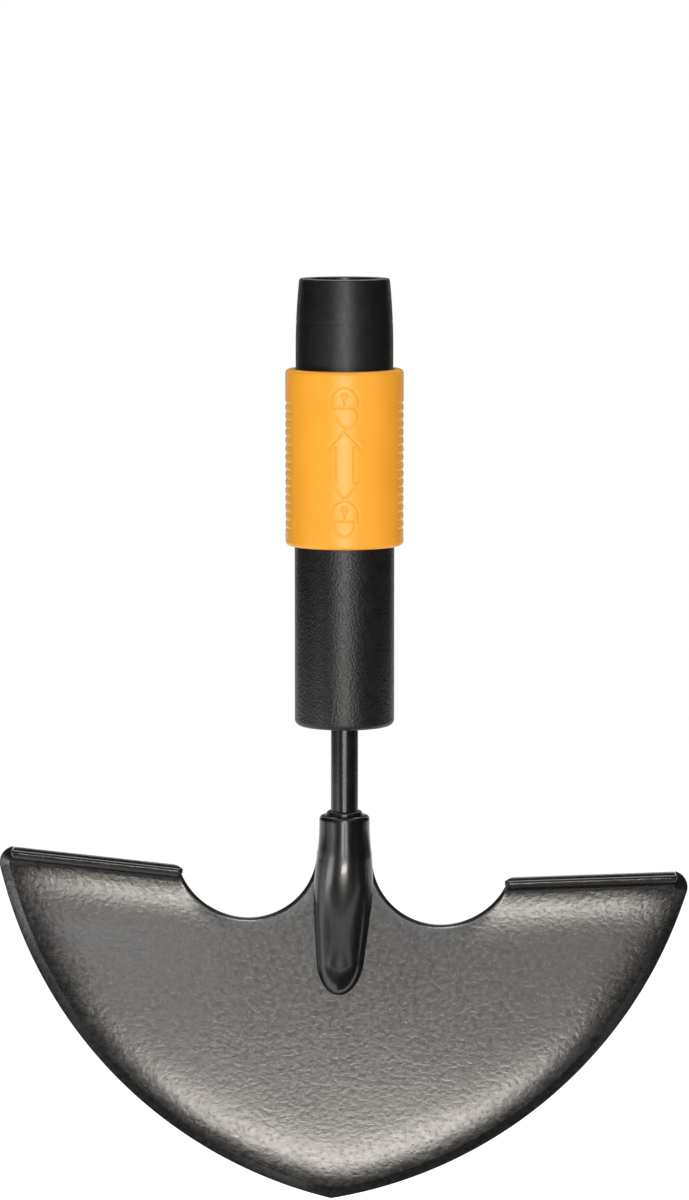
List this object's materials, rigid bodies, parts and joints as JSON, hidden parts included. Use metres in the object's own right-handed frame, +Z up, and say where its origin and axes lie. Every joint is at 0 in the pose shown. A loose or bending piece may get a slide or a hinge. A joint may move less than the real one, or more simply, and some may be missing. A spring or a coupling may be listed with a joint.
{
  "type": "half moon edger head",
  "caption": "Half-moon lawn edger head: pointed steel blade with bent foot treads, welded round tang, and a quick-release handle socket locked by balls under a sprung sliding collar.",
  "frame": {"origin": "centre of the handle socket's rim, on the axis of the bore", "axes": "+Z up out of the handle socket along the bore, the blade hangs below; -Y towards the side with the foot treads; +X to the right as that side is seen"},
  "size_m": [0.2602, 0.044, 0.3499],
  "materials": {
    "wrinkle_coat": "satin black powder coat with a fine wrinkle",
    "gloss_paint": "smooth gloss black paint on steel",
    "nylon": "plain grey nylon",
    "bright_steel": "bright zinc-plated steel",
    "anodised": "black anodised tube",
    "grained_plastic": "black plastic with a fine pebble grain",
    "smooth_plastic": "smooth matt black plastic",
    "orange_plastic": "satin orange plastic with grip ribs and sunk lock signs"
  },
  "bodies": {
    "head": {"blade": "wrinkle_coat", "tang_socket": "gloss_paint", "tang_rod": "gloss_paint", "tang_weld": "gloss_paint", "tang_plug": "nylon", "tang_pins": "bright_steel", "core_tube": "anodised", "shank_sleeve": "grained_plastic", "socket_mouth": "smooth_plastic", "lock_spring": "bright_steel", "stop_ring": "bright_steel"},
    "collar": {"lock_collar": "orange_plastic", "spring_washer": "bright_steel"},
    "ball_1": {"lock_ball_1": "bright_steel"},
    "ball_2": {"lock_ball_2": "bright_steel"},
    "ball_3": {"lock_ball_3": "bright_steel"},
    "ball_4": {"lock_ball_4": "bright_steel"}
  },
  "joints": [
    {"name": "collar_slide", "type": "slide", "parent": "head", "child": "collar", "axis": [0, 0, 1], "range_m": [0, 0.008], "stiffness_N_per_m": 274, "springref_m": -0.012, "deforming": ["lock_spring"]},
    {"name": "ball_1_slide", "type": "slide", "parent": "head", "child": "ball_1", "axis": [0.7071, 0.7071, 0], "range_m": [0, 0.0016]},
    {"name": "ball_2_slide", "type": "slide", "parent": "head", "child": "ball_2", "axis": [-0.7071, 0.7071, 0], "range_m": [0, 0.0016]},
    {"name": "ball_3_slide", "type": "slide", "parent": "head", "child": "ball_3", "axis": [-0.7071, -0.7071, 0], "range_m": [0, 0.0016]},
    {"name": "ball_4_slide", "type": "slide", "parent": "head", "child": "ball_4", "axis": [0.7071, -0.7071, 0], "range_m": [0, 0.0016]}
  ],
  "couplings": [
    {"joint": "ball_1_slide", "follows": "collar_slide", "ratio": 0.2},
    {"joint": "ball_2_slide", "follows": "collar_slide", "ratio": 0.2},
    {"joint": "ball_3_slide", "follows": "collar_slide", "ratio": 0.2},
    {"joint": "ball_4_slide", "follows": "collar_slide", "ratio": 0.2}
  ]
}
